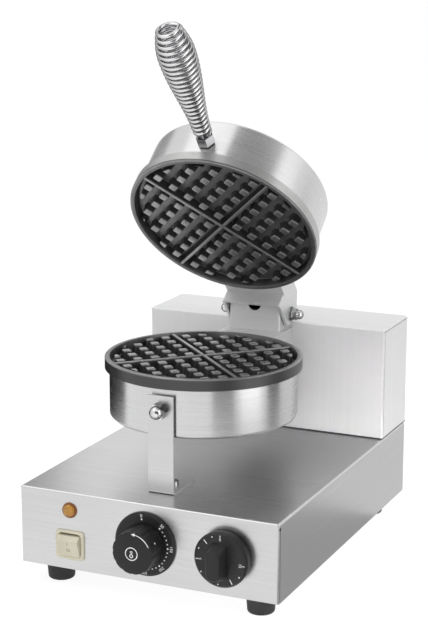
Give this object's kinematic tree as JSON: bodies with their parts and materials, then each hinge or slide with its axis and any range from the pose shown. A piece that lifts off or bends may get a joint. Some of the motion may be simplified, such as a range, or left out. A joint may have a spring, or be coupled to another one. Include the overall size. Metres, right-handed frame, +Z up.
{
  "type": "waffle baker",
  "caption": "Round countertop waffle baker: folded steel base with rear column, fixed studded lower plate, hinged upper plate with a coil-spring handle, and switch, thermostat and timer.",
  "frame": {"origin": "On the surface the feet stand on, under the middle of the object's box with the lid as pictured.", "axes": "+Z up, +Y to the back (the column side), +X to the right of someone facing the control panel."},
  "size_m": [0.25, 0.3804, 0.4998],
  "materials": {
    "stainless_steel": "brushed grain, satin",
    "bright_steel": "bright plated",
    "cast_plate": "matte dark non-stick coat",
    "black_plastic": "fine matte",
    "ivory_plastic": "semi-gloss",
    "grey_plastic": "plain moulded",
    "amber_lens": "clear amber",
    "brown_plastic": "semi-gloss",
    "black_rubber": "matte"
  },
  "bodies": {
    "base": {"base_housing": "stainless_steel", "base_bottom_plate": "stainless_steel", "column_housing": "stainless_steel", "column_rear_cover": "stainless_steel", "support_arm": "stainless_steel", "hinge_pedestal": "stainless_steel", "front_bracket": "stainless_steel", "lower_housing": "stainless_steel", "lower_heat_shield": "stainless_steel", "lower_heating_element": "stainless_steel", "bottom_plate_screws": "bright_steel", "foot_screws": "bright_steel", "foot_nuts": "bright_steel", "column_screws": "bright_steel", "rear_cover_screws": "bright_steel", "hinge_pin": "bright_steel", "hinge_washers": "bright_steel", "hinge_dome_nuts": "bright_steel", "front_bracket_bolt": "bright_steel", "front_bracket_standoff": "bright_steel", "front_bracket_dome_nut": "bright_steel", "front_bracket_screw": "bright_steel", "lower_shield_spacer": "bright_steel", "lower_plate_bolt": "bright_steel", "thermostat_bulb": "bright_steel", "control_nuts": "bright_steel", "lower_grid_plate": "cast_plate", "thermostat_dial": "black_plastic", "cable_gland": "black_plastic", "cable_gland_nut": "black_plastic", "switch_frame": "ivory_plastic", "switch_case": "grey_plastic", "thermostat_body": "grey_plastic", "timer_body": "grey_plastic", "terminal_block": "grey_plastic", "lamp_body": "grey_plastic", "lamp_lens": "amber_lens", "lamp_ring": "brown_plastic", "rubber_feet": "black_rubber"},
    "lid": {"upper_housing": "stainless_steel", "upper_grid_plate": "cast_plate", "upper_heating_element": "stainless_steel", "upper_heat_shield": "stainless_steel", "upper_shield_spacer": "bright_steel", "upper_plate_bolt": "bright_steel", "hinge_yoke": "stainless_steel", "hinge_bushes": "bright_steel", "handle_rod": "bright_steel", "handle_nut": "bright_steel", "handle_ferrule": "bright_steel", "handle_spring": "bright_steel"},
    "thermostat_control": {"thermostat_knob": "black_plastic", "thermostat_shaft": "bright_steel"},
    "timer_control": {"timer_knob": "black_plastic", "timer_shaft": "bright_steel"},
    "switch_rocker": {"power_rocker": "ivory_plastic"}
  },
  "joints": [
    {"name": "lid_hinge", "type": "hinge", "parent": "base", "child": "lid", "pos_m": [0, 0.09505, 0.2087], "axis": [-1, 0, 0], "range_deg": [-50.4, 36]},
    {"name": "thermostat_turn", "type": "hinge", "parent": "base", "child": "thermostat_control", "pos_m": [0, -0.16225, 0.0551], "axis": [0, -1, 0], "range_deg": [-270, 0]},
    {"name": "timer_turn", "type": "hinge", "parent": "base", "child": "timer_control", "pos_m": [0.0755, -0.16225, 0.0551], "axis": [0, -1, 0], "range_deg": [-270, 0]},
    {"name": "switch_rock", "type": "hinge", "parent": "base", "child": "switch_rocker", "pos_m": [-0.075, -0.15976, 0.0425], "axis": [-1, 0, 0], "range_deg": [0, 36]}
  ]
}
